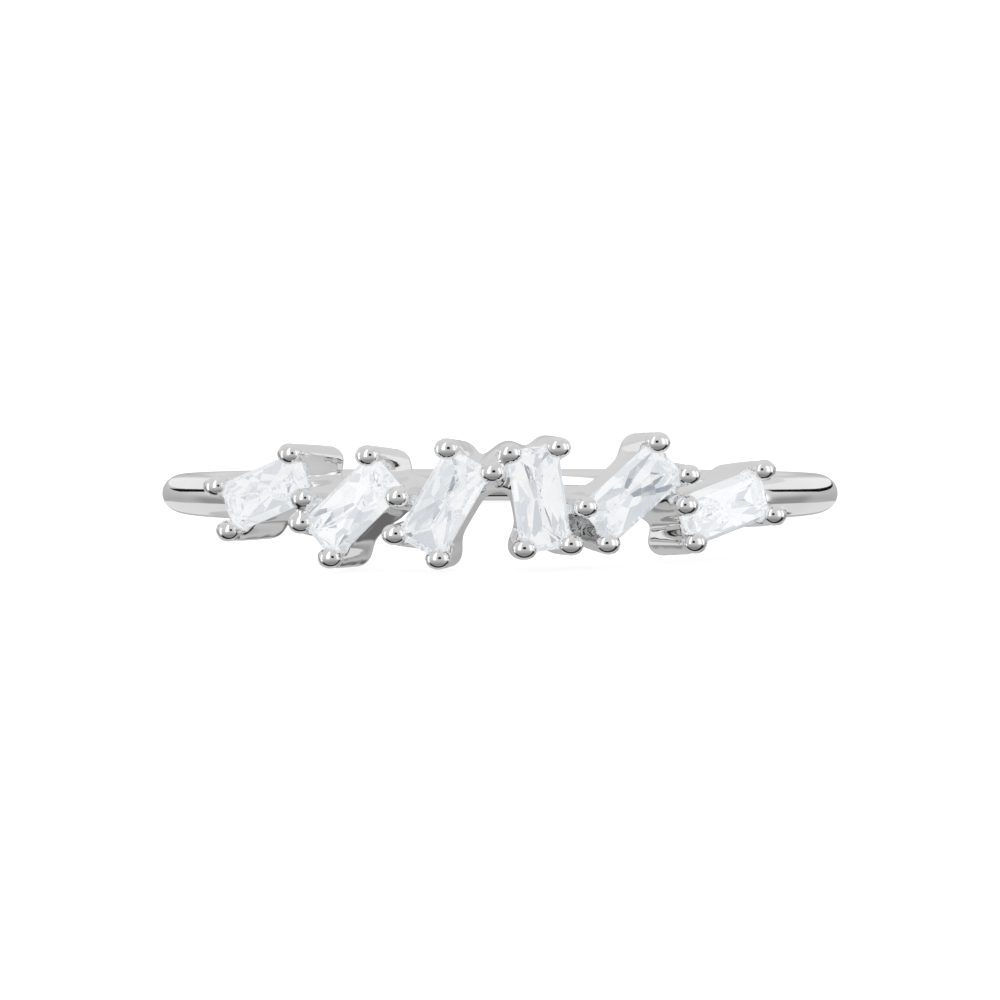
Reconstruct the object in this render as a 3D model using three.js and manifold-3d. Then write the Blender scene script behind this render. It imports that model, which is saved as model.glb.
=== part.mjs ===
// A finger ring of polished white metal with six rectangular stones set in a zig-zag.
// Millimetres. Inside the ring group the finger axis is Z and the head faces -Y;
// the group is then turned to lie on its side, as the ring rests on a flat surface.

import * as THREE from 'three';
import { ConvexGeometry } from 'three/addons/geometries/ConvexGeometry.js';
import { ConvexHull } from 'three/addons/math/ConvexHull.js';
import { mergeVertices } from 'three/addons/utils/BufferGeometryUtils.js';
import Module from 'manifold-3d';

// ---------------------------------------------------------------- driving dimensions

const FINGER_RADIUS = 8.65;            // ring size 7
const FINGER_FACETS = 72;
const FINGER_FLAT_DEPTH = 0.05;        // how deep the finger hole cuts into the oval wire

const GIRDLE_RADIUS = 11.35;           // finger axis to the stones' widest level
const STONE_LENGTH = 2.96;
const STONE_WIDTH = 1.48;
const SEAT_GAP = 0.04;                 // clearance of a stone in its metal

// Corners of the cut in one quarter of a stone, mirrored to the other three. Each lies
// across and along the stone from its middle, and at a level outwards from its girdle.
const CUT_POINTS = [
  { across: 0.58, along: 1.28, level: 0.28 },                              // table
  { across: STONE_WIDTH / 2, along: STONE_LENGTH / 2, level: 0.03 },       // girdle, upper edge
  { across: STONE_WIDTH / 2, along: STONE_LENGTH / 2, level: -0.03 },      // girdle, lower edge
  { across: 0.40, along: 0.50, level: -0.45 },                             // side facets
  { across: 0.14, along: 0, level: -0.80 },                                // waist
  { across: 0, along: 0.80, level: -0.78 },                                // ends of the keel
  { across: 0, along: 0, level: -0.92 },                                   // culet
];

const TIP_SPACING_ALONG = 2.82;        // between the ball tips of a setting's prongs
const TIP_SPACING_ACROSS = 1.34;
const TIP_RADIUS = 0.33;
const TIP_LEVEL = 0.35;                // levels are measured outwards from the girdle
const FOOT_SPACING_ALONG = 2.62;       // the prongs draw together towards their round feet
const FOOT_SPACING_ACROSS = 1.06;
const FOOT_RADIUS = 0.45;
const FOOT_LEVEL = -1.60;              // centre of the round foot
const NECK_RADIUS = 0.30;
const NECK_DROP = 0.26;                // from the tip's centre down to the neck
const PRONG_SIDES = 9;

const WALL_SPAN_ALONG = 2.74;          // outer faces of a basket's walls
const WALL_SPAN_ACROSS = 1.32;
const WALL_THICKNESS = 0.32;
const WALL_TOP = -0.14;
const WALL_FOOT = -1.86;

const METAL_DENSITY = 10.36e-3;        // sterling silver, g/mm3
const STONE_DENSITY = 5.8e-3;          // cubic zirconia, g/mm3

// One row for each setting: its angle round the finger (0 is the middle of the head),
// its height along the finger axis, the turn of the stone's length from that axis, and
// how far the basket leans sideways under its stone. Angles in degrees.
const SETTINGS = [
  { angle: -36.0, height: 0.22, turn: 70, lean: 1.5 },
  { angle: -21.5, height: -0.15, turn: 47, lean: 4 },
  { angle: -8.0, height: -0.05, turn: 30, lean: 3.5 },
  { angle: 5.6, height: 0.09, turn: -8.5, lean: -0.5 },
  { angle: 19.3, height: 0.25, turn: 50, lean: 0 },
  { angle: 34.2, height: -0.21, turn: 73, lean: 4 },
];

// Prong tips that were pushed over a little when the stone was set. A prong is named by
// its place in the setting: +1 or -1 end of the stone's length, +1 or -1 side across it.
const PUSHED_TIPS = [
  { setting: 2, end: 1, side: 1, along: -0.14, across: 0.11 },
  { setting: 3, end: 1, side: 1, along: 0.08, across: 0.11 },
  { setting: 3, end: -1, side: -1, along: -0.03, across: -0.09 },
  { setting: 4, end: 1, side: 1, along: -0.05, across: 0.05 },
  { setting: 4, end: -1, side: -1, along: 0.08, across: 0.01 },
  { setting: 5, end: 1, side: 1, along: 0.11, across: -0.03 },
  { setting: 5, end: -1, side: 1, along: -0.17, across: -0.12 },
  { setting: 6, end: -1, side: 1, along: -0.06, across: -0.10 },
  { setting: 6, end: -1, side: -1, along: -0.03, across: 0.14 },
];

// Sections of the band, as half of a ring mirrored about the back.
const BAND_SECTIONS = [
  { angle: 180, width: 0.96, thickness: 1.26 },
  { angle: 100, width: 1.12, thickness: 1.32 },
  { angle: 60, width: 1.21, thickness: 1.36 },
  { angle: 51, width: 1.22, thickness: 1.34 },
  { angle: 45, width: 0.86, thickness: 1.22 },
  { angle: 40, width: 0.82, thickness: 1.20 },
  { angle: 0, width: 0.82, thickness: 1.20 },
];
const BAND_STEPS = 90;
const BAND_SIDES = 12;

// How far the band wanders along the finger axis as it passes under the stones.
const BAND_HEIGHTS = [
  { angle: -180, height: -0.04 },
  { angle: -45, height: -0.04 },
  { angle: -36, height: -0.07 },
  { angle: -24, height: -0.07 },
  { angle: -18, height: 0.17 },
  { angle: -8, height: 0.17 },
  { angle: 6, height: 0 },
  { angle: 20, height: 0 },
  { angle: 26, height: -0.07 },
  { angle: 36, height: -0.07 },
  { angle: 45, height: -0.04 },
  { angle: 180, height: -0.04 },
];
const HEAD_GAP = { from: -4.5, to: 2.7 };   // degrees, where no band joins the middle stones

// The solder that joins the middle settings, prong to prong, across that gap.
const BRIDGE = { angle: 0, height: 0.86, width: 0.58, rise: 0.86, inner: 9.45, outer: 10.85 };

// ---------------------------------------------------------------- solids

const wasm = await Module();
wasm.setup();

function toSolid(geometry, matrix = new THREE.Matrix4()) {
  const bare = geometry.clone().applyMatrix4(matrix);
  bare.deleteAttribute('normal');
  bare.deleteAttribute('uv');
  const merged = mergeVertices(bare, 1e-5);
  return new wasm.Manifold(new wasm.Mesh({
    numProp: 3,
    vertProperties: new Float32Array(merged.attributes.position.array),
    triVerts: new Uint32Array(merged.index.array),
  }));
}

function toGeometry(solid) {
  const mesh = solid.getMesh();
  const geometry = new THREE.BufferGeometry();
  geometry.setAttribute('position', new THREE.BufferAttribute(mesh.vertProperties, 3));
  geometry.setIndex(new THREE.BufferAttribute(mesh.triVerts, 1));
  geometry.computeVertexNormals();
  return geometry;
}

// A value from a table of rows at rising angles, eased between its rows.
function easedBetween(rows, angle, key) {
  const next = rows.findIndex((row) => row.angle >= angle);
  if (next <= 0) return rows[Math.max(next, 0)][key];
  const before = rows[next - 1];
  const after = rows[next];
  const step = THREE.MathUtils.smoothstep(angle, before.angle, after.angle);
  return THREE.MathUtils.lerp(before[key], after[key], step);
}

// ---------------------------------------------------------------- band

// An oval wire turned round the finger, then shaped section by section.
function bandSolid() {
  const outline = [];
  for (let i = 0; i <= BAND_SIDES; i += 1) {
    const turn = (2 * Math.PI * i) / BAND_SIDES;
    outline.push(new THREE.Vector2(FINGER_RADIUS + Math.cos(turn) / 2, Math.sin(turn) / 2));
  }
  const geometry = new THREE.LatheGeometry(outline, BAND_STEPS);
  geometry.rotateX(Math.PI / 2);
  const sections = [...BAND_SECTIONS].reverse();
  const position = geometry.attributes.position;
  for (let i = 0; i < position.count; i += 1) {
    const x = position.getX(i);
    const y = position.getY(i);
    const angle = THREE.MathUtils.radToDeg(Math.atan2(x, -y));
    const width = easedBetween(sections, Math.abs(angle), 'width');
    const thickness = easedBetween(sections, Math.abs(angle), 'thickness');
    const inner = FINGER_RADIUS - FINGER_FLAT_DEPTH;
    const outward = Math.hypot(x, y) - FINGER_RADIUS;
    const radius = inner + thickness * (outward + 0.5);
    const scale = radius / Math.hypot(x, y);
    const height = easedBetween(BAND_HEIGHTS, angle, 'height');
    position.setXYZ(i, x * scale, y * scale, position.getZ(i) * width + height);
  }
  return toSolid(geometry);
}

// The wedge between the two middle settings, as seen from the finger axis.
function headGapSolid() {
  const reach = 2 * FINGER_RADIUS;
  const shape = new THREE.Shape([new THREE.Vector2(0, 0)]);
  shape.moveTo(0, 0);
  for (const angle of [HEAD_GAP.from, HEAD_GAP.to]) {
    const turn = THREE.MathUtils.degToRad(angle);
    shape.lineTo(reach * Math.sin(turn), -reach * Math.cos(turn));
  }
  const depth = 2 * FINGER_RADIUS;
  const geometry = new THREE.ExtrudeGeometry(shape, { depth, bevelEnabled: false });
  geometry.translate(0, 0, -depth / 2);
  return toSolid(geometry);
}

function bridgeSolid() {
  const depth = BRIDGE.outer - BRIDGE.inner;
  const geometry = new THREE.BoxGeometry(BRIDGE.width, depth, BRIDGE.rise);
  geometry.translate(0, -(BRIDGE.inner + BRIDGE.outer) / 2, BRIDGE.height);
  geometry.rotateZ(THREE.MathUtils.degToRad(BRIDGE.angle));
  return toSolid(geometry);
}

function fingerSolid() {
  const depth = 2 * FINGER_RADIUS;
  const geometry = new THREE.CylinderGeometry(
    FINGER_RADIUS, FINGER_RADIUS, depth, FINGER_FACETS);
  geometry.rotateX(Math.PI / 2);
  geometry.rotateZ(Math.PI / FINGER_FACETS);
  return toSolid(geometry);
}

// ---------------------------------------------------------------- settings

// A setting's own frame: X across the stone, Y along it, Z outwards from its girdle.
function settingMatrix({ angle, height, turn }) {
  const round = new THREE.Matrix4().makeRotationZ(THREE.MathUtils.degToRad(angle));
  const out = new THREE.Matrix4().makeTranslation(0, -GIRDLE_RADIUS, height);
  const stand = new THREE.Matrix4().makeRotationX(Math.PI / 2);
  const spin = new THREE.Matrix4().makeRotationZ(THREE.MathUtils.degToRad(-turn));
  return round.multiply(out).multiply(stand).multiply(spin);
}

// A tapered rod from a round foot, centred on the origin, up the Z axis to a ball tip.
function prongGeometry(length) {
  const onBall = (radius, centre, degrees) => {
    const turn = THREE.MathUtils.degToRad(degrees);
    return new THREE.Vector2(radius * Math.cos(turn), centre + radius * Math.sin(turn));
  };
  const points = [
    new THREE.Vector2(0, -FOOT_RADIUS),
    onBall(FOOT_RADIUS, 0, -48),
    onBall(FOOT_RADIUS, 0, -8),
    new THREE.Vector2(NECK_RADIUS, length - NECK_DROP),
    onBall(TIP_RADIUS, length, -25),
    onBall(TIP_RADIUS, length, 15),
    onBall(TIP_RADIUS, length, 52),
    new THREE.Vector2(0, length + TIP_RADIUS),
  ];
  const geometry = new THREE.LatheGeometry(points, PRONG_SIDES);
  geometry.rotateX(Math.PI / 2);
  return geometry;
}

// The basket leans about the stone's length, from the girdle down.
function basketMatrix(setting) {
  const lean = new THREE.Matrix4().makeRotationY(THREE.MathUtils.degToRad(-setting.lean));
  return settingMatrix(setting).multiply(lean);
}

// One prong, from its foot in the basket out to its tip over the stone's corner.
function prongSolid(setting, settingNumber, end, side) {
  const pushed = PUSHED_TIPS.find((row) => row.setting === settingNumber
    && row.end === end && row.side === side) ?? { along: 0, across: 0 };
  const foot = new THREE.Vector3(
    (side * FOOT_SPACING_ACROSS) / 2, (end * FOOT_SPACING_ALONG) / 2, FOOT_LEVEL);
  const tip = new THREE.Vector3(
    (side * TIP_SPACING_ACROSS) / 2 + pushed.across,
    (end * TIP_SPACING_ALONG) / 2 + pushed.along,
    TIP_LEVEL);
  foot.applyMatrix4(basketMatrix(setting));
  tip.applyMatrix4(settingMatrix(setting));
  const rod = tip.clone().sub(foot);
  const lean = new THREE.Quaternion().setFromUnitVectors(
    new THREE.Vector3(0, 0, 1), rod.clone().normalize());
  const place = new THREE.Matrix4().compose(foot, lean, new THREE.Vector3(1, 1, 1));
  return toSolid(prongGeometry(rod.length()), place);
}

function basketWalls(matrix) {
  const rise = WALL_TOP - WALL_FOOT;
  const outer = new THREE.BoxGeometry(WALL_SPAN_ACROSS, WALL_SPAN_ALONG, rise);
  const inner = new THREE.BoxGeometry(
    WALL_SPAN_ACROSS - 2 * WALL_THICKNESS, WALL_SPAN_ALONG - 2 * WALL_THICKNESS, 2 * rise);
  outer.translate(0, 0, (WALL_TOP + WALL_FOOT) / 2);
  inner.translate(0, 0, (WALL_TOP + WALL_FOOT) / 2);
  return toSolid(outer, matrix).subtract(toSolid(inner, matrix));
}

function settingSolid(setting, settingNumber) {
  let solid = basketWalls(basketMatrix(setting));
  for (const end of [1, -1]) {
    for (const side of [1, -1]) {
      solid = solid.add(prongSolid(setting, settingNumber, end, side));
    }
  }
  return solid;
}

// ---------------------------------------------------------------- stones

// A cut stone, grown on every side by an allowance when it makes its own seat.
function stoneGeometry(allowance = 0) {
  const points = [];
  for (const { across, along, level } of CUT_POINTS) {
    for (const side of [1, -1]) {
      for (const end of [1, -1]) {
        points.push(new THREE.Vector3(
          side * (across + allowance),
          end * (along + allowance),
          level + Math.sign(level) * allowance));
      }
    }
  }
  return new ConvexGeometry(points);
}

// ---------------------------------------------------------------- resting pose

// Mass and first moment of a closed geometry, from the tetrahedra under its triangles.
function massMoment(geometry, density) {
  const flat = geometry.index ? geometry.toNonIndexed() : geometry;
  const position = flat.attributes.position;
  const moment = new THREE.Vector3();
  let mass = 0;
  for (let i = 0; i < position.count; i += 3) {
    const [a, b, c] = [0, 1, 2].map((k) => new THREE.Vector3().fromBufferAttribute(position, i + k));
    const part = (density * a.dot(b.clone().cross(c))) / 6;
    mass += part;
    moment.addScaledVector(a.add(b).add(c), part / 4);
  }
  return { mass, moment };
}

// The turn that lays the ring on the side it rests on: the face of its hull that the
// weight falls through, brought down to level.
function restingTurn(parts) {
  const points = [];
  const centre = new THREE.Vector3();
  let total = 0;
  for (const { geometry, density } of parts) {
    const position = geometry.attributes.position;
    for (let i = 0; i < position.count; i += 1) {
      points.push(new THREE.Vector3().fromBufferAttribute(position, i));
    }
    const { mass, moment } = massMoment(geometry, density);
    total += mass;
    centre.add(moment);
  }
  centre.divideScalar(total);
  const hull = new ConvexHull().setFromPoints(points);
  const down = new THREE.Vector3(0, 0, -1);
  const turn = new THREE.Quaternion();
  for (let tries = 0; tries < 8; tries += 1) {
    const fall = down.clone().applyQuaternion(turn.clone().invert());
    const landing = hull.intersectRay(new THREE.Ray(centre, fall), new THREE.Vector3());
    const face = hull.faces.reduce((best, one) => (
      Math.abs(one.distanceToPoint(landing)) < Math.abs(best.distanceToPoint(landing)) ? one : best));
    turn.setFromUnitVectors(face.normal.clone().normalize(), down);
  }
  return turn;
}

// ---------------------------------------------------------------- assembly

const metalLook = new THREE.MeshStandardMaterial({ color: 0xd9dadc, roughness: 0.08, metalness: 1 });
const stoneLook = new THREE.MeshStandardMaterial({ color: 0xf2f5f8, roughness: 0.02, metalness: 0 });

let metal = bandSolid().subtract(headGapSolid()).add(bridgeSolid());
SETTINGS.forEach((setting, index) => {
  metal = metal.add(settingSolid(setting, index + 1));
});
metal = metal.subtract(fingerSolid());
const seat = stoneGeometry(SEAT_GAP);
for (const setting of SETTINGS) metal = metal.subtract(toSolid(seat, settingMatrix(setting)));

const metalMesh = new THREE.Mesh(toGeometry(metal), metalLook);
metalMesh.name = 'band_and_settings';

const stoneMeshes = SETTINGS.map((setting, index) => {
  const stone = new THREE.Mesh(stoneGeometry(), stoneLook.clone());
  stone.name = `stone_${index + 1}`;
  stone.applyMatrix4(settingMatrix(setting));
  return stone;
});

const ring = new THREE.Group();
ring.add(metalMesh, ...stoneMeshes);

const weighed = [{ geometry: metalMesh.geometry, density: METAL_DENSITY }];
for (const stone of stoneMeshes) {
  stone.updateMatrix();
  weighed.push({ geometry: stone.geometry.clone().applyMatrix4(stone.matrix), density: STONE_DENSITY });
}
ring.quaternion.copy(restingTurn(weighed));
const reach = new THREE.Box3().setFromObject(ring, true);
ring.position.set(-(reach.min.x + reach.max.x) / 2, -(reach.min.y + reach.max.y) / 2, -reach.min.z);

const object = new THREE.Group();
object.add(ring);

export default object;
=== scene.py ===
# A polished white-metal ring with six clear rectangular stones, lying on its side.
# Sizes are in millimetres in the dictionaries and become metres where meshes are made.
import math

import bpy
import numpy as np
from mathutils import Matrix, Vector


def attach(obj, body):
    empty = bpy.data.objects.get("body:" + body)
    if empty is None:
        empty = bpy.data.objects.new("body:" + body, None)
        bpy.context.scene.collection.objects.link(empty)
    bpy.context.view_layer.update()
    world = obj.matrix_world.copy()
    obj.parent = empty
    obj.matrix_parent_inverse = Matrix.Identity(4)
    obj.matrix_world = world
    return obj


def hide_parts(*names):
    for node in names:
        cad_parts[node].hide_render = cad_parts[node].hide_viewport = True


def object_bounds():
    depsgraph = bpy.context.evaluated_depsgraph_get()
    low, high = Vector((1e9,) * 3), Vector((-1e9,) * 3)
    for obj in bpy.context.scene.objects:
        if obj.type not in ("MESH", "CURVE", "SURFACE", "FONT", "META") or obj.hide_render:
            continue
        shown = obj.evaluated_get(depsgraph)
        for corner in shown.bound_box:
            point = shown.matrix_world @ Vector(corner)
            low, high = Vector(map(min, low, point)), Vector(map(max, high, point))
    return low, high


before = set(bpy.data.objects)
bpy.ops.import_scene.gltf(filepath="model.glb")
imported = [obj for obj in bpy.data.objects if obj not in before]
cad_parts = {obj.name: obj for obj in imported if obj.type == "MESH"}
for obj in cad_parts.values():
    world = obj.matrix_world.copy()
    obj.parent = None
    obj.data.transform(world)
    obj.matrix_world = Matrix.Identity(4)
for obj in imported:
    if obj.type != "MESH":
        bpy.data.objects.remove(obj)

import openvdb
from mathutils import Matrix, Vector

mm = 0.001
cadBox = [list(corner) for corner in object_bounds()]  # the CAD model's own box
root = "root"

# Ring frame: finger axis along Z, head towards -Y, the way the CAD ring was laid out
# before it was turned to lie down.
settings = [
    {"node": "stone_1", "angle": -36.0, "height": 0.22, "turn": 70.0, "lean": 1.5},
    {"node": "stone_2", "angle": -21.5, "height": -0.15, "turn": 47.0, "lean": 4.0},
    {"node": "stone_3", "angle": -8.0, "height": -0.05, "turn": 30.0, "lean": 3.5},
    {"node": "stone_4", "angle": 5.6, "height": 0.09, "turn": -8.5, "lean": -0.5},
    {"node": "stone_5", "angle": 19.3, "height": 0.25, "turn": 50.0, "lean": 0.0},
    {"node": "stone_6", "angle": 34.2, "height": -0.21, "turn": 73.0, "lean": 4.0},
]
girdleRadius = 11.35  # finger axis to the stones' widest level


def settingMatrix(setting):
    # X across the stone, Y along it, Z outwards from its girdle
    around = Matrix.Rotation(math.radians(setting["angle"]), 4, "Z")
    out = Matrix.Translation((0, -girdleRadius, setting["height"]))
    stand = Matrix.Rotation(math.pi / 2, 4, "X")
    spin = Matrix.Rotation(math.radians(-setting["turn"]), 4, "Z")
    return around @ out @ stand @ spin


def basketMatrix(setting):
    # the basket leans about the stone's length, from the girdle down
    return settingMatrix(setting) @ Matrix.Rotation(math.radians(-setting["lean"]), 4, "Y")


def meshArrays(mesh):
    # vertices and triangles as numpy arrays
    mesh.calc_loop_triangles()
    points = np.empty(len(mesh.vertices) * 3)
    mesh.vertices.foreach_get("co", points)
    triangles = np.empty(len(mesh.loop_triangles) * 3, np.int32)
    mesh.loop_triangles.foreach_get("vertices", triangles)
    return points.reshape(-1, 3), triangles.reshape(-1, 3)


def girdleCentre(node):
    # the girdle's eight corners lie furthest from the stone's middle
    points, _ = meshArrays(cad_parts[node].data)
    points = np.unique(points.round(8), axis=0)
    away = np.linalg.norm(points - points.mean(axis=0), axis=1)
    return points[np.argsort(away)[-8:]].mean(axis=0)


def findRingFrame():
    # lays the six planned girdle centres onto the six CAD stones
    planned = np.array([settingMatrix(s).translation for s in settings]) * mm
    found = np.array([girdleCentre(s["node"]) for s in settings])
    spread = (planned - planned.mean(axis=0)).T @ (found - found.mean(axis=0))
    u, _, vt = np.linalg.svd(spread)
    flip = np.diag([1, 1, np.sign(np.linalg.det(vt.T @ u.T))])
    turn = vt.T @ flip @ u.T
    shift = found.mean(axis=0) - turn @ planned.mean(axis=0)
    miss = np.abs(planned @ turn.T + shift - found).max()
    print(f"ring frame found, largest miss {miss / mm:.5f} mm")
    return Matrix.Translation(shift) @ Matrix(turn.tolist()).to_4x4()


ringFrame = findRingFrame()
toWorld = ringFrame @ Matrix.Scale(mm, 4)  # ring millimetres to row metres


# ---- nodes

def addNode(tree, kind, options=None, **inputs):
    # a node with its options, and its inputs as values or links, by name or as i0, i1 and so on
    node = tree.nodes.new(kind)
    for name, value in (options or {}).items():
        setattr(node, name, value)
    for name, value in inputs.items():
        key = int(name[1:]) if name[1:].isdigit() else name.replace("_", " ")
        socket = node.inputs[key]
        if isinstance(value, bpy.types.NodeSocket):
            tree.links.new(value, socket)
        else:
            socket.default_value = value
    return node


def linearColour(code):
    # sRGB hex to linear rgba
    parts = [int(code[i:i + 2], 16) / 255 for i in (1, 3, 5)]
    return [c / 12.92 if c <= 0.04045 else ((c + 0.055) / 1.055) ** 2.4 for c in parts] + [1.0]


def newTree(name, inputs):
    # a Geometry Nodes tree with named inputs: name -> (socket type, value)
    tree = bpy.data.node_groups.new(name, "GeometryNodeTree")
    tree.interface.new_socket("Geometry", in_out="INPUT", socket_type="NodeSocketGeometry")
    for label, (kind, value) in inputs.items():
        socket = tree.interface.new_socket(label, in_out="INPUT", socket_type=kind)
        socket.default_value = value
    tree.interface.new_socket("Geometry", in_out="OUTPUT", socket_type="NodeSocketGeometry")
    return tree, tree.nodes.new("NodeGroupInput"), tree.nodes.new("NodeGroupOutput")


def runTree(tree, mesh):
    # runs a tree on a mesh and gives the plain mesh it makes
    holder = bpy.data.objects.new(tree.name, mesh)
    bpy.context.scene.collection.objects.link(holder)
    modifier = holder.modifiers.new(tree.name, "NODES")
    modifier.node_group = tree
    bpy.context.view_layer.update()
    made = holder.evaluated_get(bpy.context.evaluated_depsgraph_get())
    result = bpy.data.meshes.new_from_object(made)
    bpy.data.objects.remove(holder)
    return result


def finishTree(tree, last, result):
    # every tree ends in Realize Instances and Set Material
    plain = addNode(tree, "GeometryNodeRealizeInstances", Geometry=last.outputs[0])
    made = addNode(tree, "GeometryNodeSetMaterial", Geometry=plain.outputs[0], Material=polishedSilver)
    tree.links.new(made.outputs[0], result.inputs[0])


def pointMesh(name, points, vectors):
    # bare vertices that carry named vectors
    mesh = bpy.data.meshes.new(name)
    mesh.from_pydata(points, [], [])
    for label, values in vectors.items():
        attribute = mesh.attributes.new(label, "FLOAT_VECTOR", "POINT")
        attribute.data.foreach_set("vector", np.array(values, np.float32).ravel())
    return mesh


# ---- finishes

# pattern sizes are in millimetres
silver = {
    "tones": [(0.3, "#ededed"), (0.7, "#f5f5f5")],
    "bloom": 2.0,  # size of the broad change from mirror to softer buff
    "marks": (0.1111, 0.1111, 0.0333),  # the felt wheel's marks run round the ring
    "roughness": (0.05, 0.12),
    "markDepth": 0.00015,
}

zirconia = {
    "tones": [(0.35, "#f7f9fb"), (0.65, "#ffffff")],
    "clouds": 1.1111,  # size of the faint clouds
    "roughness": (0.0, 0.02),
    "ior": 2.15,
    # small facets below the girdle, finer than the cut that is modelled
    "facets": (0.6667, 0.6667, 1.4286),
    "facetTilt": 0.05,  # how far their normals are pushed over
    "facetDepth": (11.15, 11.30),  # they fade out between these distances from the finger axis
}


def fillRamp(ramp, rows):
    # colours at places from 0 to 1
    line = ramp.color_ramp.elements
    while len(line) < len(rows):
        line.new(0.5)
    for element, (place, colour) in zip(line, rows):
        element.position = place
        element.color = linearColour(colour)


def startMaterial(name):
    # an empty material, its tree and its output
    material = bpy.data.materials.new(name)
    material.use_nodes = True
    tree = material.node_tree
    tree.nodes.clear()
    return material, tree, addNode(tree, "ShaderNodeOutputMaterial")


def perMetre(size):
    # a pattern's scale from its size in millimetres
    return 1 / (size * mm)


def between(tree, value, span):
    # spreads the middle half of a noise over a span
    spread = addNode(tree, "ShaderNodeMapRange", Value=value, i1=0.25, i2=0.75, i3=span[0], i4=span[1])
    return spread.outputs[0]


def makePolishedSilver():
    # rhodium-plated silver, buffed on a felt wheel: a near-white mirror with faint buffing marks
    material, tree, output = startMaterial("rhodium plated silver")
    place = addNode(tree, "ShaderNodeTexCoord").outputs["Object"]
    bloom = addNode(tree, "ShaderNodeTexNoise", Vector=place, Scale=perMetre(silver["bloom"]), Detail=2.0)
    tones = addNode(tree, "ShaderNodeValToRGB", i0=bloom.outputs[0])
    fillRamp(tones, silver["tones"])
    stretched = addNode(tree, "ShaderNodeMapping", Vector=place,
                        Scale=[perMetre(size) for size in silver["marks"]])
    marks = addNode(tree, "ShaderNodeTexNoise", Vector=stretched.outputs[0], Scale=1.0, Detail=3.0)
    blend = addNode(tree, "ShaderNodeMix", {"data_type": "FLOAT"},
                    i0=0.5, i2=bloom.outputs[0], i3=marks.outputs[0])
    bump = addNode(tree, "ShaderNodeBump", Height=marks.outputs[0],
                   Strength=1.0, Distance=silver["markDepth"] * mm)
    shader = addNode(tree, "ShaderNodeBsdfPrincipled", Base_Color=tones.outputs[0], Metallic=1.0,
                     Roughness=between(tree, blend.outputs[0], silver["roughness"]), Normal=bump.outputs[0])
    tree.links.new(shader.outputs[0], output.inputs[0])
    return material


def makeClearStone():
    # cubic zirconia, cut and polished: water-clear with strong refraction, and faint clouds
    material, tree, output = startMaterial("clear cubic zirconia")
    place = addNode(tree, "ShaderNodeTexCoord").outputs["Object"]
    clouds = addNode(tree, "ShaderNodeTexNoise", Vector=place, Scale=perMetre(zirconia["clouds"]), Detail=3.0)
    tones = addNode(tree, "ShaderNodeValToRGB", i0=clouds.outputs[0])
    fillRamp(tones, zirconia["tones"])
    location, rotation, _ = ringFrame.inverted().decompose()
    inRing = addNode(tree, "ShaderNodeMapping", Vector=place,
                     Location=location, Rotation=rotation.to_euler())
    flat = addNode(tree, "ShaderNodeVectorMath", {"operation": "MULTIPLY"},
                   i0=inRing.outputs[0], i1=(1, 1, 0))
    depth = addNode(tree, "ShaderNodeVectorMath", {"operation": "LENGTH"}, i0=flat.outputs[0])
    deep, shallow = (v * mm for v in zirconia["facetDepth"])
    below = addNode(tree, "ShaderNodeMapRange", Value=depth.outputs["Value"], i1=deep, i2=shallow,
                    i3=zirconia["facetTilt"], i4=0.0)
    stretched = addNode(tree, "ShaderNodeMapping", Vector=inRing.outputs[0],
                        Scale=[perMetre(size) for size in zirconia["facets"]])
    facets = addNode(tree, "ShaderNodeTexVoronoi", Vector=stretched.outputs[0], Scale=1.0)
    lean = addNode(tree, "ShaderNodeVectorMath", {"operation": "SUBTRACT"},
                   i0=facets.outputs["Color"], i1=(0.5, 0.5, 0.5))
    lean = addNode(tree, "ShaderNodeVectorMath", {"operation": "SCALE"},
                   Vector=lean.outputs[0], Scale=below.outputs[0])
    face = addNode(tree, "ShaderNodeNewGeometry").outputs["Normal"]
    tilted = addNode(tree, "ShaderNodeVectorMath", {"operation": "ADD"}, i0=face, i1=lean.outputs[0])
    tilted = addNode(tree, "ShaderNodeVectorMath", {"operation": "NORMALIZE"}, i0=tilted.outputs[0])
    shader = addNode(tree, "ShaderNodeBsdfPrincipled", Base_Color=tones.outputs[0], IOR=zirconia["ior"],
                     Roughness=between(tree, clouds.outputs[0], zirconia["roughness"]),
                     Transmission_Weight=1.0, Normal=tilted.outputs[0])
    tree.links.new(shader.outputs[0], output.inputs[0])
    return material


polishedSilver = makePolishedSilver()
clearStone = makeClearStone()
print("finishes: rhodium plated silver and clear cubic zirconia")


# ---- band: an oval wire swept round the finger

band = {
    "sides": 36,  # round the wire's section
    "steps": 320,  # round the finger
    "weld": 0.001,  # millimetres
    "inner": 8.60,  # inside of the wire before the finger hole is cut, millimetres
    "sections": [  # half of the ring, mirrored about the back
        {"angle": 0, "width": 0.82, "thickness": 1.20},
        {"angle": 40, "width": 0.82, "thickness": 1.20},
        {"angle": 45, "width": 0.86, "thickness": 1.22},
        {"angle": 51, "width": 1.22, "thickness": 1.34},
        {"angle": 60, "width": 1.21, "thickness": 1.36},
        {"angle": 100, "width": 1.12, "thickness": 1.32},
        {"angle": 180, "width": 0.96, "thickness": 1.26},
    ],
    "heights": [  # how the wire wanders along the finger axis under the stones
        {"angle": -180, "height": -0.04},
        {"angle": -45, "height": -0.04},
        {"angle": -36, "height": -0.07},
        {"angle": -24, "height": -0.07},
        {"angle": -18, "height": 0.17},
        {"angle": -8, "height": 0.17},
        {"angle": 6, "height": 0.0},
        {"angle": 20, "height": 0.0},
        {"angle": 26, "height": -0.07},
        {"angle": 36, "height": -0.07},
        {"angle": 45, "height": -0.04},
        {"angle": 180, "height": -0.04},
    ],
    "headGap": (-4.5, 2.7),  # degrees where no wire joins the middle settings
}


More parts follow.
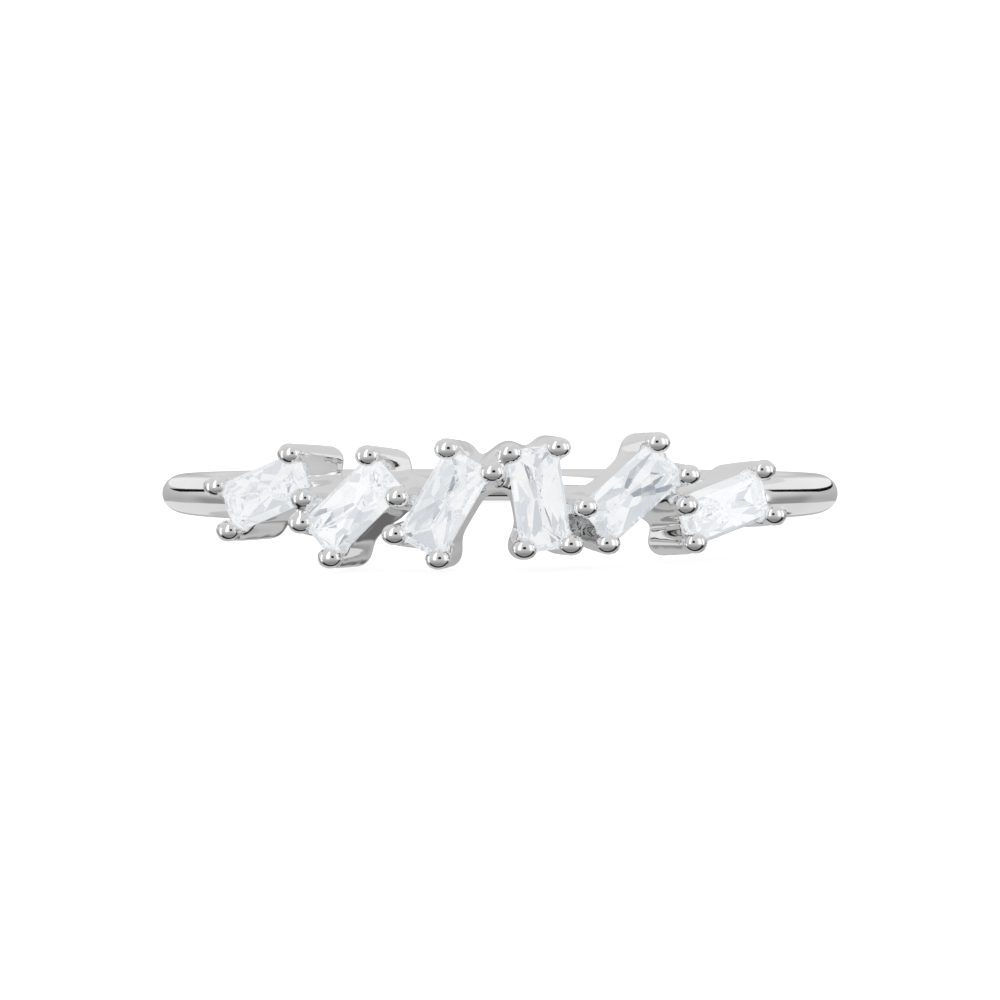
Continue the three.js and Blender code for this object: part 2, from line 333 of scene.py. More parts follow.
def fillCurve(curve, points):
    # gives a float curve these points, eased without overshoot
    line = curve.mapping.curves[0]
    for x, y in points[1:-1]:
        line.points.new(x, y)
    line.points[0].location = points[0]
    line.points[-1].location = points[-1]
    for point in line.points:
        point.handle_type = "AUTO_CLAMPED"
    curve.mapping.update()


def bandTree():
    # a flat grid: X goes round the wire's section, Y goes round the finger
    tree, given, result = newTree("oval wire", {
        "Sides": ("NodeSocketInt", band["sides"]),
        "Steps": ("NodeSocketInt", band["steps"]),
        "Inner Radius": ("NodeSocketFloat", band["inner"]),
    })
    grid = addNode(tree, "GeometryNodeMeshGrid", Size_X=math.tau, Size_Y=1.0,
                   Vertices_X=given.outputs["Sides"], Vertices_Y=given.outputs["Steps"])
    flat = addNode(tree, "GeometryNodeInputPosition")
    place = addNode(tree, "ShaderNodeSeparateXYZ", Vector=flat.outputs[0])
    fold = addNode(tree, "ShaderNodeMath", {"operation": "ABSOLUTE"}, i0=place.outputs["Y"])
    fold = addNode(tree, "ShaderNodeMath", {"operation": "MULTIPLY"}, i0=fold.outputs[0], i1=2.0)
    size = {}
    for key in ("width", "thickness"):
        size[key] = addNode(tree, "ShaderNodeFloatCurve", Value=fold.outputs[0])
        fillCurve(size[key], [(row["angle"] / 180, row[key] / 2) for row in band["sections"]])
    lap = addNode(tree, "ShaderNodeMath", {"operation": "ADD"}, i0=place.outputs["Y"], i1=0.5)
    rise = addNode(tree, "ShaderNodeFloatCurve", Value=lap.outputs[0])
    fillCurve(rise, [(row["angle"] / 360 + 0.5, row["height"] + 0.5) for row in band["heights"]])
    height = addNode(tree, "ShaderNodeMath", {"operation": "SUBTRACT"}, i0=rise.outputs[0], i1=0.5)
    middle = addNode(tree, "ShaderNodeMath", {"operation": "ADD"},
                     i0=given.outputs["Inner Radius"], i1=size["thickness"].outputs[0])
    wave = {}
    for operation in ("COSINE", "SINE"):
        wave[operation] = addNode(tree, "ShaderNodeMath", {"operation": operation}, i0=place.outputs["X"])
    radius = addNode(tree, "ShaderNodeMath", {"operation": "MULTIPLY_ADD"}, i0=wave["COSINE"].outputs[0],
                     i1=size["thickness"].outputs[0], i2=middle.outputs[0])
    level = addNode(tree, "ShaderNodeMath", {"operation": "MULTIPLY_ADD"}, i0=wave["SINE"].outputs[0],
                    i1=size["width"].outputs[0], i2=height.outputs[0])
    back = addNode(tree, "ShaderNodeMath", {"operation": "MULTIPLY"}, i0=radius.outputs[0], i1=-1.0)
    section = addNode(tree, "ShaderNodeCombineXYZ", Y=back.outputs[0], Z=level.outputs[0])
    around = addNode(tree, "ShaderNodeMath", {"operation": "MULTIPLY"}, i0=place.outputs["Y"], i1=math.tau)
    turned = addNode(tree, "ShaderNodeVectorRotate", {"rotation_type": "Z_AXIS"},
                     Vector=section.outputs[0], Angle=around.outputs[0])
    swept = addNode(tree, "GeometryNodeSetPosition", Geometry=grid.outputs[0], Position=turned.outputs[0])
    closed = addNode(tree, "GeometryNodeMergeByDistance", Geometry=swept.outputs[0], Distance=band["weld"])
    finishTree(tree, closed, result)
    return tree


# ---- settings: four claw prongs and a basket of thin walls under each stone

# spans along and across a stone, and levels from its girdle
prong = {
    "tipAlong": 2.82, "tipAcross": 1.34, "tipLevel": 0.35, "tipRadius": 0.34,
    "footAlong": 2.62, "footAcross": 1.06, "footLevel": -1.60, "footRadius": 0.45,
    "neckRadius": 0.30,
    "tipShape": (1.17, 0.90, 0.97),  # round the finger, outwards, along the finger axis
    "sides": 32, "rings": 16,
}

# tips pushed over a little when the stones were set, by end and side of the stone
pushedTips = [
    {"setting": 2, "end": 1, "side": 1, "along": -0.14, "across": 0.11},
    {"setting": 3, "end": 1, "side": 1, "along": 0.08, "across": 0.11},
    {"setting": 3, "end": -1, "side": -1, "along": -0.03, "across": -0.09},
    {"setting": 4, "end": 1, "side": 1, "along": -0.05, "across": 0.05},
    {"setting": 4, "end": -1, "side": -1, "along": 0.08, "across": 0.01},
    {"setting": 5, "end": 1, "side": 1, "along": 0.11, "across": -0.03},
    {"setting": 5, "end": -1, "side": 1, "along": -0.17, "across": -0.12},
    {"setting": 6, "end": -1, "side": 1, "along": -0.06, "across": -0.10},
    {"setting": 6, "end": -1, "side": -1, "along": -0.03, "across": 0.14},
]

basket = {"along": 2.74, "across": 1.32, "wall": 0.32, "top": -0.14, "foot": -1.86}


def tipPush(number, end, side):
    # how far a tip was pushed over along and across its stone
    for row in pushedTips:
        if (row["setting"], row["end"], row["side"]) == (number, end, side):
            return row["along"], row["across"]
    return 0.0, 0.0


def prongPoints():
    # the feet, each with the rod vector that runs up to its tip
    feet, rods, turns = [], [], []
    for number, setting in enumerate(settings, 1):
        for end in (1, -1):
            for side in (1, -1):
                along, across = tipPush(number, end, side)
                foot = Vector((side * prong["footAcross"] / 2,
                               end * prong["footAlong"] / 2, prong["footLevel"]))
                tip = Vector((side * prong["tipAcross"] / 2 + across,
                              end * prong["tipAlong"] / 2 + along, prong["tipLevel"]))
                feet.append(basketMatrix(setting) @ foot)
                rods.append(settingMatrix(setting) @ tip - feet[-1])
                turns.append((0, 0, math.radians(setting["angle"])))
    return pointMesh("prong feet", feet, {"rod": rods, "turn": turns})


def prongTree():
    tree, given, result = newTree("claw prongs", {
        "Foot Radius": ("NodeSocketFloat", prong["footRadius"]),
        "Neck Radius": ("NodeSocketFloat", prong["neckRadius"]),
        "Tip Radius": ("NodeSocketFloat", prong["tipRadius"]),
        "Tip Shape": ("NodeSocketVector", prong["tipShape"]),
        "Sides": ("NodeSocketInt", prong["sides"]),
    })
    rod = addNode(tree, "GeometryNodeInputNamedAttribute", {"data_type": "FLOAT_VECTOR"}, Name="rod")
    length = addNode(tree, "ShaderNodeVectorMath", {"operation": "LENGTH"}, i0=rod.outputs[0])
    stretch = addNode(tree, "ShaderNodeCombineXYZ", X=1.0, Y=1.0, Z=length.outputs["Value"])
    lean = addNode(tree, "FunctionNodeAlignRotationToVector", {"axis": "Z"}, Vector=rod.outputs[0])
    shaft = addNode(tree, "GeometryNodeMeshCone", Vertices=given.outputs["Sides"], Depth=1.0,
                    Radius_Top=given.outputs["Neck Radius"], Radius_Bottom=given.outputs["Foot Radius"])
    shafts = addNode(tree, "GeometryNodeInstanceOnPoints", Points=given.outputs[0],
                     Instance=shaft.outputs["Mesh"], Rotation=lean.outputs[0], Scale=stretch.outputs[0])
    ends = addNode(tree, "GeometryNodeSetPosition", Geometry=given.outputs[0], Offset=rod.outputs[0])
    ball = addNode(tree, "GeometryNodeMeshUVSphere", Segments=given.outputs["Sides"], Rings=prong["rings"],
                   Radius=given.outputs["Tip Radius"])
    turn = addNode(tree, "GeometryNodeInputNamedAttribute", {"data_type": "FLOAT_VECTOR"}, Name="turn")
    balls = addNode(tree, "GeometryNodeInstanceOnPoints", Points=ends.outputs[0],
                    Instance=ball.outputs["Mesh"], Rotation=turn.outputs[0], Scale=given.outputs["Tip Shape"])
    heel = addNode(tree, "GeometryNodeMeshUVSphere", Segments=given.outputs["Sides"], Rings=prong["rings"],
                   Radius=given.outputs["Foot Radius"])
    heels = addNode(tree, "GeometryNodeInstanceOnPoints", Points=given.outputs[0],
                    Instance=heel.outputs["Mesh"])
    both = addNode(tree, "GeometryNodeJoinGeometry")
    for part in (shafts, balls, heels):
        tree.links.new(part.outputs[0], both.inputs[0])
    finishTree(tree, both, result)
    return tree


def basketPoints():
    # the stones' places, with the directions outwards and along each stone
    places = [basketMatrix(setting) for setting in settings]
    return pointMesh("basket places", [place.translation for place in places], {
        "outwards": [place.col[2].to_3d() for place in places],
        "along": [place.col[1].to_3d() for place in places],
    })


def basketTree():
    tree, given, result = newTree("basket walls", {
        "Along": ("NodeSocketFloat", basket["along"]),
        "Across": ("NodeSocketFloat", basket["across"]),
        "Wall": ("NodeSocketFloat", basket["wall"]),
    })
    rise = basket["top"] - basket["foot"]
    middle = (basket["top"] + basket["foot"]) / 2
    walls = addNode(tree, "GeometryNodeJoinGeometry")
    for across, along in (("Across", "Along"), ("Along", "Across")):
        inset = addNode(tree, "ShaderNodeMath", {"operation": "SUBTRACT"},
                        i0=given.outputs[across], i1=given.outputs["Wall"])
        inset = addNode(tree, "ShaderNodeMath", {"operation": "MULTIPLY"}, i0=inset.outputs[0], i1=0.5)
        for side in (1, -1):
            offset = addNode(tree, "ShaderNodeMath", {"operation": "MULTIPLY"}, i0=inset.outputs[0], i1=side)
            size = addNode(tree, "ShaderNodeCombineXYZ", Z=rise)
            place = addNode(tree, "ShaderNodeCombineXYZ", Z=middle)
            thin, long = ("X", "Y") if across == "Across" else ("Y", "X")
            tree.links.new(given.outputs["Wall"], size.inputs[thin])
            tree.links.new(given.outputs[along], size.inputs[long])
            tree.links.new(offset.outputs[0], place.inputs[thin])
            slab = addNode(tree, "GeometryNodeMeshCube", Size=size.outputs[0])
            wall = addNode(tree, "GeometryNodeTransform", Geometry=slab.outputs["Mesh"],
                           Translation=place.outputs[0])
            tree.links.new(wall.outputs[0], walls.inputs[0])
    facing = {}
    for name in ("outwards", "along"):
        read = addNode(tree, "GeometryNodeInputNamedAttribute", {"data_type": "FLOAT_VECTOR"}, Name=name)
        facing[name] = read.outputs[0]
    stand = addNode(tree, "FunctionNodeAlignRotationToVector", {"axis": "Z"}, Vector=facing["outwards"])
    spin = addNode(tree, "FunctionNodeAlignRotationToVector", {"axis": "Y", "pivot_axis": "Z"},
                   Rotation=stand.outputs[0], Vector=facing["along"])
    placed = addNode(tree, "GeometryNodeInstanceOnPoints", Points=given.outputs[0],
                     Instance=walls.outputs[0], Rotation=spin.outputs[0])
    finishTree(tree, placed, result)
    return tree


# ---- casting: the raw forms flow together as polished metal does

casting = {
    "voxel": 0.06,  # millimetres
    "quickVoxel": 0.1,
    "triangles": 190000,  # the finished mesh is thinned to this
    "reach": 6,  # voxels of distance kept each side of a surface
    "fillet": 0.22,  # width of the soft joint between band and walls
    "clawFillet": 0.30,  # and between them and the prongs
    "polish": 3,  # passes that round the raw edges
    "buff": 8,  # further passes on the baskets, below the tips
    "buffedDepth": (10.7, 11.15),  # distances from the finger axis between which they fade out
    "buffedSpan": (44, 48),  # and the same in degrees round from the head
    "box": ((-10.3, -12.1, -2.4), (10.3, 10.3, 2.4)),  # corners of the grid
    "settling": 3,  # steps that bring the thinned mesh back to the surface
    "gapEdge": 0.08,  # softness of the edges that the cuts leave
    "finger": 8.65,  # radius of the finger hole
    "fingerEdge": 0.12,
    "seatGap": 0.04,  # clearance of a stone in its metal
    "seatEdge": 0.03,
    # solder that joins the middle settings prong to prong
    "solder": {"height": 0.86, "width": 0.58, "rise": 0.86, "inner": 9.45, "outer": 10.85, "fillet": 0.44},
}

voxel = casting["voxel"]
low = np.array([math.floor(v / voxel) for v in casting["box"][0]])
high = np.array([math.ceil(v / voxel) for v in casting["box"][1]])
shape = tuple(high - low + 1)
axes = [(np.arange(shape[i]) + low[i]).astype(np.float32) * voxel for i in range(3)]


def distanceField(mesh):
    # signed distance to a closed mesh on the casting's grid, negative inside
    points, triangles = meshArrays(mesh)
    grid = openvdb.FloatGrid.createLevelSetFromPolygons(
        points.astype(np.float32), triangles=triangles.astype(np.uint32),
        transform=openvdb.createLinearTransform(voxelSize=voxel), halfWidth=casting["reach"])
    field = np.empty(shape, np.float32)
    grid.copyToArray(field, ijk=tuple(int(v) for v in low))
    return field


def softUnion(a, b, width):
    # the smaller of two distances, eased where they are nearly the same
    ease = np.maximum(width - np.abs(a - b), 0) / width
    return np.minimum(a, b) - ease * ease * width / 4


def softCut(a, b, width):
    # keeps a where it lies outside b
    return -softUnion(-a, b, width)


def polished(field, passes):
    # a small blur along each axis, which rounds edges as polishing does
    for _ in range(passes):
        for axis in range(3):
            field = np.moveaxis(field, axis, 0)
            smooth = field.copy()
            smooth[1:-1] = (field[:-2] + 2 * field[1:-1] + field[2:]) / 4
            field = np.moveaxis(smooth, 0, axis)
    return field


def sample(field, points):
    # trilinear value of a field at these points
    place = points / voxel - low
    base = np.clip(np.floor(place).astype(int), 0, np.array(shape) - 2)
    part = place - base
    total = 0
    for corner in np.ndindex(2, 2, 2):
        weight = np.prod(np.where(corner, part, 1 - part), axis=1)
        at = base + corner
        total = total + weight * field[at[:, 0], at[:, 1], at[:, 2]]
    return total


def slopeAt(field, points):
    # direction in which the distance grows, which is the surface's normal
    slope = np.stack([
        sample(field, points + step) - sample(field, points - step)
        for step in np.eye(3) * voxel], axis=1)
    return slope / np.maximum(np.linalg.norm(slope, axis=1, keepdims=True), 1e-9)


def cutHeadGap(wire, angle, radius):
    # takes out the wire between the middle settings
    start, stop = band["headGap"]
    middle, half = (start + stop) / 2, (stop - start) / 2
    gap = (np.abs(angle - middle) - half) * np.pi / 180 * radius
    return softCut(wire, gap, casting["gapEdge"])


def solderBlock(x, y, z):
    solder = casting["solder"]
    middle, half = (solder["inner"] + solder["outer"]) / 2, (solder["outer"] - solder["inner"]) / 2
    block = np.maximum(np.abs(x) - solder["width"] / 2, np.abs(z - solder["height"]) - solder["rise"] / 2)
    return np.maximum(block, np.abs(-y - middle) - half)


def buffedBaskets(metal, angle, radius):
    # more polish on the baskets than on the tips and the shank
    deep, shallow = casting["buffedDepth"]
    inside, outside = casting["buffedSpan"]
    kept = np.maximum((radius - deep) / (shallow - deep), (np.abs(angle) - inside) / (outside - inside))
    buffed = polished(metal, casting["buff"])
    return buffed + (metal - buffed) * np.clip(kept, 0, 1)


def castMetal():
    # the whole casting's distance field
    x, y, z = axes[0][:, None, None], axes[1][None, :, None], axes[2][None, None, :]
    angle = np.degrees(np.arctan2(x, -y))
    radius = np.hypot(x, y)
    wire = distanceField(runTree(bandTree(), bpy.data.meshes.new("wire start")))
    metal = cutHeadGap(wire, angle, radius)
    print(f"wire swept on a grid of {shape[0]} x {shape[1]} x {shape[2]}")
    walls = distanceField(runTree(basketTree(), basketPoints()))
    metal = softUnion(metal, walls, casting["fillet"])
    claws = distanceField(runTree(prongTree(), prongPoints()))
    metal = softUnion(metal, claws, casting["clawFillet"])
    print(f"joined {len(settings)} baskets and {4 * len(settings)} prongs")
    metal = softUnion(metal, solderBlock(x, y, z), casting["solder"]["fillet"])
    metal = polished(metal, casting["polish"])
    metal = buffedBaskets(metal, angle, radius)
    metal = softCut(metal, radius - casting["finger"], casting["fingerEdge"])
    return softCut(metal, distanceField(joinedStones()) - casting["seatGap"], casting["seatEdge"])


def thinned(points, quads):
    # collapses the flattest edges until the mesh is light enough
    mesh = bpy.data.meshes.new("dense metal")
    mesh.from_pydata(points, [], quads.tolist())
    holder = bpy.data.objects.new("dense metal", mesh)
    bpy.context.scene.collection.objects.link(holder)
    modifier = holder.modifiers.new("thin", "DECIMATE")
    modifier.ratio = min(1.0, casting["triangles"] / (2 * len(quads)))
    bpy.context.view_layer.update()
    made = holder.evaluated_get(bpy.context.evaluated_depsgraph_get())
    result = bpy.data.meshes.new_from_object(made)
    bpy.data.objects.remove(holder)
    return meshArrays(result)


def metalMesh(field):
    # the surface where the field is zero, with smooth normals, in row metres
    grid = openvdb.FloatGrid(casting["reach"] * voxel)
    grid.copyFromArray(field, ijk=tuple(int(v) for v in low))
    grid.transform = openvdb.createLinearTransform(voxelSize=voxel)
    points, quads = grid.convertToQuads(isovalue=0)
    a, b, c = (points[quads[:, i]] for i in range(3))
    if np.sum(np.cross(b - a, c - a) * slopeAt(field, a)) < 0:
        quads = quads[:, ::-1]
    points, faces = thinned(points, quads)
    for _ in range(casting["settling"]):
        points -= slopeAt(field, points) * sample(field, points)[:, None]
    normals = slopeAt(field, points)
    placing = np.array(toWorld)
    points = points @ placing[:3, :3].T + placing[:3, 3]
    points = np.clip(points, cadBox[0], cadBox[1])  # it rests on the CAD ring's own footing
    mesh = bpy.data.meshes.new("cast metal")
    mesh.from_pydata(points, [], faces.tolist())
    turned = normals @ np.array(ringFrame.to_3x3()).T
    mesh.shade_smooth()
    mesh.normals_split_custom_set_from_vertices(turned)
    print(f"metal: {len(faces)} triangles")
    return mesh


def joinedStones():
    # the CAD stones together, in ring millimetres
    points, triangles, count = [], [], 0
    for setting in settings:
        corners, faces = meshArrays(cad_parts[setting["node"]].data)
        points.append(corners)
        triangles.append(faces + count)
        count += len(corners)
    mesh = bpy.data.meshes.new("stones together")
    mesh.from_pydata(np.concatenate(points), [], np.concatenate(triangles).tolist())
    mesh.transform(toWorld.inverted())
    return mesh


ring = bpy.data.objects.new("cast_band_and_settings", metalMesh(castMetal()))
bpy.context.scene.collection.objects.link(ring)
ring.data.materials.append(polishedSilver)
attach(ring, root)
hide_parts("band_and_settings")
ring.visible_transmission = False  # the stones show the white room, not their dark seats

for setting in settings:
    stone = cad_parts[setting["node"]]
    stone.data.materials.clear()
    stone.data.materials.append(clearStone)
print(f"stones finished: {len(settings)}")


# ---- studio

studio = {
    "floorRadius": 1.4,  # metres
    "floorSides": 64,
    "lens": 367.2,  # millimetres
    "sensor": 36,
    "clip": (0.01, 10),  # metres
    "distance": 300.0,  # millimetres from the finger axis
    "above": 1.5,  # degrees over the ring's own plane
    "aimBelow": 0.25,  # millimetres
    "paper": "#9a9a9a",  # the paper is lit from below too, so that shadows stay faint
    "paperGlow": 0.84,
    "paperRoughness": 0.9,
    "bounces": 64,  # light turns many times inside a stone
}


def makeFloor():
    # a round sheet of white paper under the ring
    mesh = bpy.data.meshes.new("floor")
    radius, sides = studio["floorRadius"], studio["floorSides"]
    around = [math.tau * i / sides for i in range(sides)]
    rim = [(radius * math.cos(a), radius * math.sin(a), 0) for a in around]
    mesh.from_pydata(rim, [], [list(range(sides))])
    floor = bpy.data.objects.new("floor", mesh)
    bpy.context.scene.collection.objects.link(floor)
    material = bpy.data.materials.new("white paper sweep")
    material.use_nodes = True
    shader = material.node_tree.nodes["Principled BSDF"]
    shader.inputs["Base Color"].default_value = linearColour(studio["paper"])
    shader.inputs["Roughness"].default_value = studio["paperRoughness"]
    shader.inputs["Emission Color"].default_value = linearColour("#ffffff")
    shader.inputs["Emission Strength"].default_value = studio["paperGlow"]
    floor.data.materials.append(material)
    floor.visible_glossy = False  # the metal mirrors the tent alone
    floor.visible_transmission = False


# the light tent that the metal mirrors, by elevation in degrees, on the camera's side
# and behind the ring
tent = {
    "backdrop": "#ffffff",
    "turnover": (-0.45, 0.15),  # how far a way points forward where behind turns to front
    "front": [(-90, "#c4c4c4"), (-75, "#a0a0a0"), (-50, "#8c8c8c"), (-15, "#c0c0c0"), (0, "#d0d0d0"),
              (25, "#d6d6d6"), (60, "#d9d9d9"), (90, "#e2e2e2")],
    "behind": [(-90, "#e0e0e0"), (-60, "#cccccc"), (-32, "#c6c6c6"), (-20, "#b8b8b8"), (-10, "#b0b0b0"),
               (-3, "#bbbbbb"), (6, "#cccccc"), (12, "#dcdcdc"), (25, "#dcdcdc"),
               (60, "#e2e2e2"), (90, "#e6e6e6")],
    # soft boxes and dark gaps: degrees to the right of the camera, then degrees up
    "panels": [
        {"name": "key strip", "across": (-42, -22), "up": (-5, 70), "soft": 6,
         "grey": "#ffffff", "strength": 1.9},
        {"name": "fill", "across": (46, 74), "up": (-12, 40), "soft": 10,
         "grey": "#ffffff", "strength": 1.2},
        {"name": "left edge", "across": (-97, -78), "up": (-24, 24), "soft": 4,
         "grey": "#ffffff", "strength": 1.3},
        {"name": "right edge", "across": (84, 99), "up": (-14, 28), "soft": 4,
         "grey": "#ffffff", "strength": 1.3},
        {"name": "left dusk", "across": (-126, -104), "up": (-38, -2), "soft": 7,
         "grey": "#989898", "strength": 1.0},
        {"name": "right dusk", "across": (102, 130), "up": (-38, -2), "soft": 7,
         "grey": "#989898", "strength": 1.0},
        {"name": "low corner", "across": (142, 166), "up": (-42, -26), "soft": 5,
         "grey": "#6c6c6c", "strength": 1.0},
        {"name": "lens opening", "across": (-6, 18), "up": (3, 27), "soft": 3,
         "grey": "#040404", "strength": 1.0},
    ],
    # a dark apron under the ring: degrees round the line of sight, then degrees away from it
    "aprons": [
        {"name": "apron", "across": (-146, -18), "up": (76, 100), "soft": 5,
         "grey": "#202020", "strength": 1.0},
    ],
    # the white room that the stones show: how many patches, how soft, and their tones
    "cells": 2.6,
    "cellSoftness": 0.25,
    "tones": [(0.1, "#d4d9df"), (0.35, "#ebeff2"), (0.55, "#fafbfc"), (0.75, "#ffffff")],
    "stonePanels": [
        {"name": "camera", "across": (-14, 14), "up": (-14, 14), "soft": 6,
         "grey": "#8d95a0", "strength": 1.0},
    ],
}


def windowed(tree, angle, span, soft):
    # 1 where an angle lies inside a span of degrees, fading over its soft edge
    edges = []
    for start, stop in ((span[0] - soft, span[0] + soft), (span[1] + soft, span[1] - soft)):
        edge = addNode(tree, "ShaderNodeMapRange", {"interpolation_type": "SMOOTHSTEP"}, Value=angle)
        edge.inputs["From Min"].default_value = math.radians(min(start, stop))
        edge.inputs["From Max"].default_value = math.radians(max(start, stop))
        if start > stop:
            edge.inputs["To Min"].default_value = 1.0
            edge.inputs["To Max"].default_value = 0.0
        edges.append(edge.outputs["Result"])
    inside = addNode(tree, "ShaderNodeMath", {"operation": "MULTIPLY"}, i0=edges[0], i1=edges[1])
    return inside.outputs[0]


def addPanels(tree, colour, across, up, panels):
    # lays panels over a colour, by two angles of the way that is looked in
    for panel in panels:
        wide = windowed(tree, across, panel["across"], panel["soft"])
        tall = windowed(tree, up, panel["up"], panel["soft"])
        mask = addNode(tree, "ShaderNodeMath", {"operation": "MULTIPLY"}, i0=wide, i1=tall)
        bright = [c * panel["strength"] for c in linearColour(panel["grey"])[:3]] + [1.0]
        mix = addNode(tree, "ShaderNodeMix", {"data_type": "RGBA"}, i0=mask.outputs[0], i6=colour, i7=bright)
        colour = mix.outputs[2]
    return colour


def lookAngles(tree, way):
    # angles of the way that is looked in, where forward is towards the camera's side
    parts = addNode(tree, "ShaderNodeSeparateXYZ", Vector=way)
    x, z = parts.outputs["X"], parts.outputs["Z"]
    forward = addNode(tree, "ShaderNodeMath", {"operation": "MULTIPLY"}, i0=parts.outputs["Y"], i1=-1.0)
    forward = forward.outputs[0]
    return {
        "forward": forward,
        "azimuth": addNode(tree, "ShaderNodeMath", {"operation": "ARCTAN2"}, i0=x, i1=forward).outputs[0],
        "elevation": addNode(tree, "ShaderNodeMath", {"operation": "ARCSINE"}, i0=z).outputs[0],
        "spin": addNode(tree, "ShaderNodeMath", {"operation": "ARCTAN2"}, i0=z, i1=x).outputs[0],
        "away": addNode(tree, "ShaderNodeMath", {"operation": "ARCCOSINE"}, i0=forward).outputs[0],
    }


def tentColour(tree, look):
    # ramps by elevation in front and behind, with the soft boxes and the apron laid over them
    height = addNode(tree, "ShaderNodeMath", {"operation": "MULTIPLY_ADD"},
                     i0=look["elevation"], i1=1 / math.pi, i2=0.5)
    ramps = {}
    for side in ("front", "behind"):
        ramps[side] = addNode(tree, "ShaderNodeValToRGB", i0=height.outputs[0])
        fillRamp(ramps[side], [(degrees / 180 + 0.5, grey) for degrees, grey in tent[side]])
    behind, front = tent["turnover"]
    near = addNode(tree, "ShaderNodeMapRange", {"interpolation_type": "SMOOTHSTEP"},
                   Value=look["forward"], i1=behind, i2=front)
    base = addNode(tree, "ShaderNodeMix", {"data_type": "RGBA"}, i0=near.outputs[0],
                   i6=ramps["behind"].outputs[0], i7=ramps["front"].outputs[0])
    colour = addPanels(tree, base.outputs[2], look["azimuth"], look["elevation"], tent["panels"])
    return addPanels(tree, colour, look["spin"], look["away"], tent["aprons"])


def roomColour(tree, way, look):
    # pale soft patches, with a darker one where the camera stands
    cells = addNode(tree, "ShaderNodeTexVoronoi", {"feature": "SMOOTH_F1"}, Vector=way,
                    Scale=tent["cells"], Smoothness=tent["cellSoftness"])
    pick = addNode(tree, "ShaderNodeSeparateXYZ", Vector=cells.outputs["Color"])
    tones = addNode(tree, "ShaderNodeValToRGB", i0=pick.outputs["X"])
    fillRamp(tones, tent["tones"])
    return addPanels(tree, tones.outputs[0], look["azimuth"], look["elevation"], tent["stonePanels"])


def makeWorld():
    # plain white to the camera, the tent to the metal and the pale room to the stones
    world = bpy.data.worlds.new("soft studio")
    world.use_nodes = True
    tree = world.node_tree
    tree.nodes.clear()
    output = addNode(tree, "ShaderNodeOutputWorld")
    way = addNode(tree, "ShaderNodeTexCoord").outputs["Generated"]
    look = lookAngles(tree, way)
    path = addNode(tree, "ShaderNodeLightPath")
    seen = addNode(tree, "ShaderNodeMix", {"data_type": "RGBA"}, i0=path.outputs["Is Glossy Ray"],
                   i6=linearColour(tent["backdrop"]), i7=tentColour(tree, look))
    seen = addNode(tree, "ShaderNodeMix", {"data_type": "RGBA"}, i0=path.outputs["Is Transmission Ray"],
                   i6=seen.outputs[2], i7=roomColour(tree, way, look))
    light = addNode(tree, "ShaderNodeBackground", Color=seen.outputs[2], Strength=1.0)
    tree.links.new(light.outputs[0], output.inputs[0])
    bpy.context.scene.world = world


def makeCamera():
    data = bpy.data.cameras.new("camera")
    data.lens = studio["lens"]
    data.sensor_width = studio["sensor"]
    data.clip_start, data.clip_end = studio["clip"]
    lift = math.radians(studio["above"])
    place = Vector((0, -math.cos(lift), math.sin(lift))) * studio["distance"]
    aim = Vector((0, 0, -studio["aimBelow"]))
    back = (place - aim).normalized()
    right = Vector((0, 0, 1)).cross(back).normalized()
    turn = Matrix((right, back.cross(right), back)).transposed().to_4x4()
    camera = bpy.data.objects.new("camera", data)
    bpy.context.scene.collection.objects.link(camera)
    camera.matrix_world = Matrix.Translation(toWorld @ place) @ ringFrame.to_3x3().to_4x4() @ turn
    bpy.context.scene.camera = camera


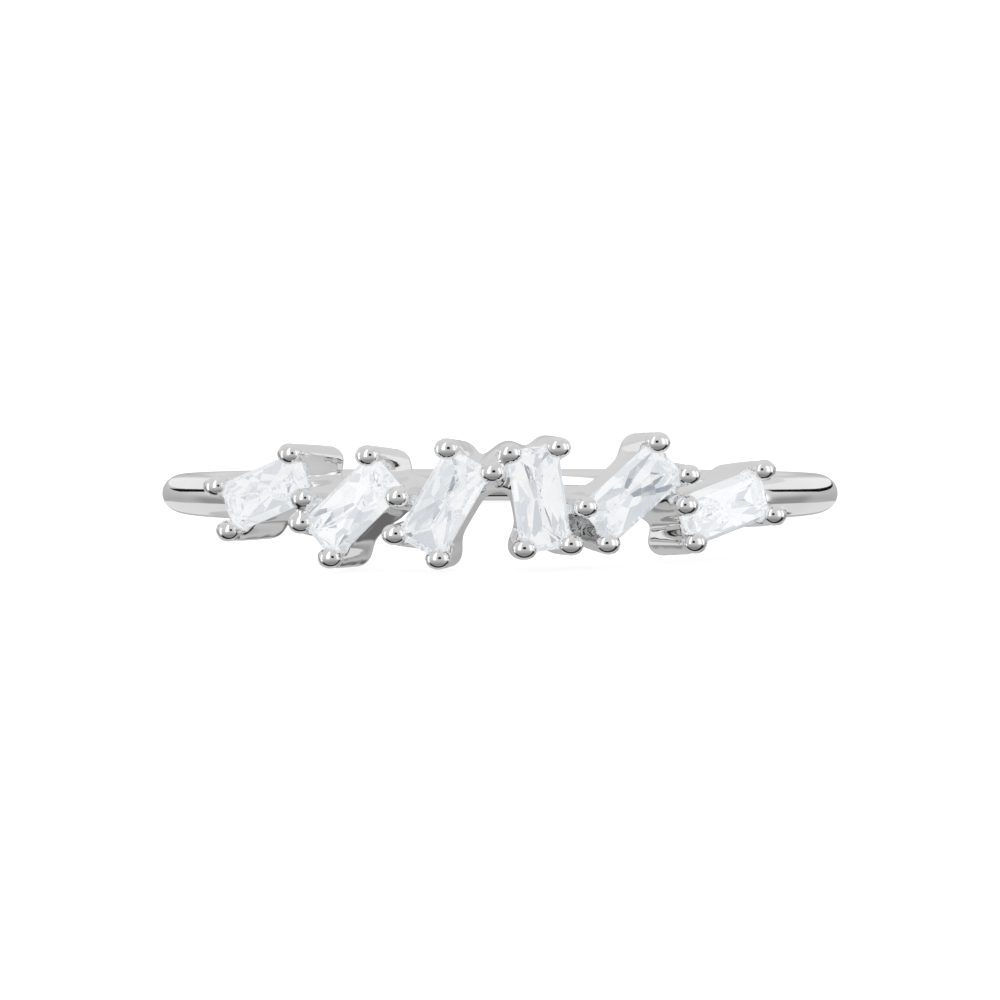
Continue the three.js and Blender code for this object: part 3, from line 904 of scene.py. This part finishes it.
# strips on both sides of the ring that only the polished shoulders mirror: pale above and
# below, with a fine black line between; heights at the front end, the bend and the back end
shoulderCards = {
    "radius": 14.0,  # millimetres from the finger axis
    "from": 73, "bend": 99,  # degrees round from the head, and so is "to"
    "steps": 20,
    "strips": [  # each ends at its own place on the left and on the right
        {"name": "upper", "to": (130, 130), "grey": "#f2f2f2",
         "low": (3.95, 2.1, 1.1), "high": (9.0, 7.5, 6.5)},
        {"name": "line", "to": (114, 130), "grey": "#050505",
         "low": (2.45, 1.0, 1.1), "high": (3.95, 2.1, 1.1)},
        {"name": "lower", "to": (130, 130), "grey": "#e4e4e4",
         "low": (-8.0, -7.0, -6.0), "high": (-2.5, -2.2, -0.9)},
    ],
}


def makeShoulderCards():
    for strip in shoulderCards["strips"]:
        points, faces = [], []
        for side, stop in zip((-1, 1), strip["to"]):
            places = [shoulderCards["from"], shoulderCards["bend"], stop]
            angles = np.linspace(places[0], stop, shoulderCards["steps"] + 1)
            lows = np.interp(angles, places, strip["low"])
            highs = np.interp(angles, places, strip["high"])
            for angle, bottom, top in zip(angles, lows, highs):
                turn = math.radians(side * angle)
                x, y = math.sin(turn) * shoulderCards["radius"], -math.cos(turn) * shoulderCards["radius"]
                points += [(x, y, bottom), (x, y, top)]
                if angle > angles[0]:
                    last = len(points)
                    faces.append((last - 4, last - 2, last - 1, last - 3))
        mesh = bpy.data.meshes.new(strip["name"] + " card")
        mesh.from_pydata(points, [], faces)
        mesh.transform(toWorld)
        material, tree, output = startMaterial(strip["name"] + " card")
        glow = addNode(tree, "ShaderNodeEmission", Color=linearColour(strip["grey"]), Strength=1.0)
        tree.links.new(glow.outputs[0], output.inputs[0])
        mesh.materials.append(material)
        card = bpy.data.objects.new(strip["name"] + "_card", mesh)
        bpy.context.scene.collection.objects.link(card)
        card.visible_camera = False
        card.visible_diffuse = False
        card.visible_shadow = False
        card.visible_transmission = False


makeFloor()
makeWorld()
makeShoulderCards()
makeCamera()
print("studio: floor, light tent, shoulder cards and camera")
bpy.context.scene.view_settings.view_transform = "Standard"
bpy.context.scene.cycles.max_bounces = studio["bounces"]
bpy.context.scene.cycles.transmission_bounces = studio["bounces"]
bpy.context.scene.cycles.glossy_bounces = studio["bounces"]
